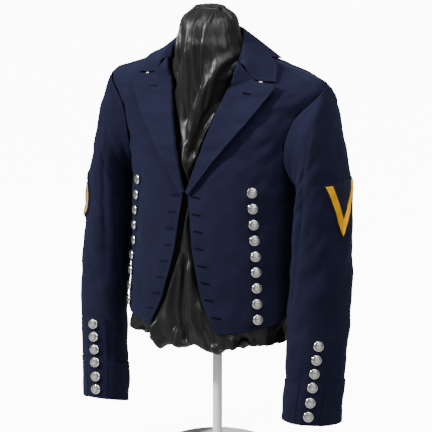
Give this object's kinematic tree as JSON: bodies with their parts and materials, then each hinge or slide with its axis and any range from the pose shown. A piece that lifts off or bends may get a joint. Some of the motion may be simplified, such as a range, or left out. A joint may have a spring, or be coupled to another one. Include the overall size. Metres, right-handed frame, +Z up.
{
  "type": "military parade jacket on a covered display bust",
  "caption": "Waist-length navy dress jacket with wide lapels, metal button rows and sleeve badges, on a black satin-covered limbless display bust with a round stand.",
  "frame": {"origin": "centre of the underside of the stand's base", "axes": "+Z up, the wearer faces -Y, the wearer's left is +X"},
  "size_m": [0.5411, 0.2521, 0.849],
  "materials": {
    "wool_navy": "matt navy wool, fine twill weave",
    "satin_black": "glossy black satin",
    "button_nickel": "satin nickel with dark hollows",
    "braid_gold": "matt yellow braid and embroidery",
    "stand_white": "satin white paint"
  },
  "bodies": {
    "root": {"bust": "satin_black", "pole": "stand_white", "base": "stand_white", "pole_socket": "stand_white", "collar": "wool_navy", "chevron": "braid_gold", "chevron_backing": "wool_navy", "badge_backing": "wool_navy", "badge_ring": "braid_gold", "badge_star": "braid_gold", "front_left": "wool_navy", "side_body_left": "wool_navy", "back_left": "wool_navy", "top_sleeve_left": "wool_navy", "under_sleeve_left": "wool_navy", "cuff_left": "wool_navy", "cuff_placket_left": "wool_navy", "lapel_left": "wool_navy", "front_button_left_1": "button_nickel", "front_button_left_2": "button_nickel", "front_button_left_3": "button_nickel", "front_button_left_4": "button_nickel", "front_button_left_5": "button_nickel", "front_button_left_6": "button_nickel", "front_button_left_7": "button_nickel", "front_button_left_8": "button_nickel", "front_button_left_9": "button_nickel", "cuff_button_left_1": "button_nickel", "cuff_button_left_2": "button_nickel", "cuff_button_left_3": "button_nickel", "cuff_button_left_4": "button_nickel", "cuff_button_left_5": "button_nickel", "cuff_button_left_6": "button_nickel", "front_right": "wool_navy", "side_body_right": "wool_navy", "back_right": "wool_navy", "top_sleeve_right": "wool_navy", "under_sleeve_right": "wool_navy", "cuff_right": "wool_navy", "cuff_placket_right": "wool_navy", "lapel_right": "wool_navy", "front_button_right_1": "button_nickel", "front_button_right_2": "button_nickel", "front_button_right_3": "button_nickel", "front_button_right_4": "button_nickel", "front_button_right_5": "button_nickel", "front_button_right_6": "button_nickel", "front_button_right_7": "button_nickel", "front_button_right_8": "button_nickel", "front_button_right_9": "button_nickel", "cuff_button_right_1": "button_nickel", "cuff_button_right_2": "button_nickel", "cuff_button_right_3": "button_nickel", "cuff_button_right_4": "button_nickel", "cuff_button_right_5": "button_nickel", "cuff_button_right_6": "button_nickel"}
  },
  "joints": []
}
